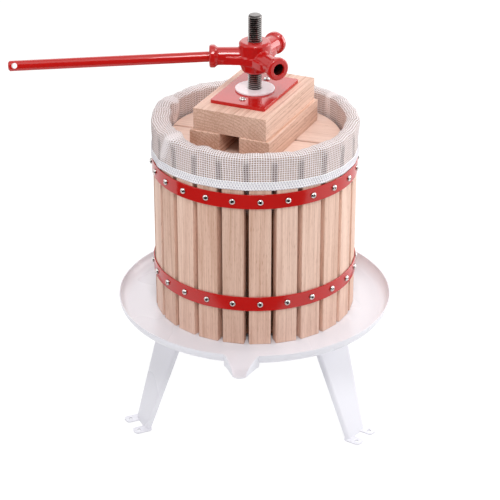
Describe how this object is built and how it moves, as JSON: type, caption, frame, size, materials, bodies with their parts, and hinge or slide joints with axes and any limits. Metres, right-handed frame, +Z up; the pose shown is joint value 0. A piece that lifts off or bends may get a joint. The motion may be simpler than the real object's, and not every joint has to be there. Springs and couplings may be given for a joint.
{
  "type": "fruit press",
  "caption": "Basket press for fruit: a slatted wooden basket with a cloth bag on a spouted tray with splayed legs, pressed by boards and blocks under a screw nut with a bar handle.",
  "frame": {"origin": "on the ground under the threaded rod's axis, at the centre of the circle of foot holes", "axes": "+Z up along the rod, -Y towards the spout, +X to the right when facing the spout"},
  "size_m": [0.5516, 0.444, 0.626],
  "materials": {
    "white_coat": "white powder coat, semi-gloss",
    "red_coat": "red powder coat, gloss",
    "slat_beech": "sanded bare beech",
    "block_beech": "sanded bare beech",
    "thread_steel": "dark oiled thread",
    "bright_steel": "bright zinc",
    "nylon": "milky nylon",
    "gauze": "open-weave filter cloth",
    "hem_tape": "white sewn binding"
  },
  "bodies": {
    "stand": {"tray": "white_coat", "leg_1": "white_coat", "leg_2": "white_coat", "leg_3": "white_coat", "leg_bolts": "bright_steel", "leg_washers": "bright_steel", "leg_nuts": "bright_steel", "screw_rod": "thread_steel", "rod_washer": "bright_steel", "rod_nut": "bright_steel", "rod_plate": "bright_steel", "rod_lock_nut": "bright_steel"},
    "basket": {"slat_1": "slat_beech", "slat_2": "slat_beech", "slat_3": "slat_beech", "slat_4": "slat_beech", "slat_5": "slat_beech", "slat_6": "slat_beech", "slat_7": "slat_beech", "slat_8": "slat_beech", "slat_9": "slat_beech", "slat_10": "slat_beech", "slat_11": "slat_beech", "slat_12": "slat_beech", "slat_13": "slat_beech", "slat_14": "slat_beech", "slat_15": "slat_beech", "slat_16": "slat_beech", "slat_17": "slat_beech", "slat_18": "slat_beech", "slat_19": "slat_beech", "slat_20": "slat_beech", "slat_21": "slat_beech", "slat_22": "slat_beech", "slat_23": "slat_beech", "slat_24": "slat_beech", "lower_hoop": "red_coat", "upper_hoop": "red_coat", "lower_hoop_screws": "bright_steel", "upper_hoop_screws": "bright_steel", "filter_bag": "gauze", "bag_hem": "hem_tape"},
    "press": {"press_plank_front_inner": "block_beech", "press_plank_front_outer": "block_beech", "press_plank_back_inner": "block_beech", "press_plank_back_outer": "block_beech", "lower_block_left": "block_beech", "lower_block_right": "block_beech", "top_block": "block_beech", "pressure_plate": "red_coat", "plate_screws": "bright_steel", "thrust_washer": "nylon"},
    "nut": {"nut_hub": "red_coat"},
    "handle": {"handle_bar": "red_coat"}
  },
  "joints": [
    {"name": "basket_lift", "type": "slide", "parent": "stand", "child": "basket", "axis": [0, 0, 1], "range_m": [0, 0.025]},
    {"name": "press_travel", "type": "slide", "parent": "stand", "child": "press", "axis": [0, 0, -1], "range_m": [0, 0.048]},
    {"name": "nut_turn", "type": "hinge", "parent": "press", "child": "nut", "pos_m": [0, 0, 0.56405], "axis": [0, 0, -1], "range_deg": [0, 5760]},
    {"name": "handle_pull", "type": "slide", "parent": "nut", "child": "handle", "axis": [-0.9905, -0.1323, -0.0363], "range_m": [0, 0.03]}
  ],
  "couplings": [
    {"joint": "press_travel", "follows": "nut_turn", "m_per_rad": 0.00047746}
  ]
}
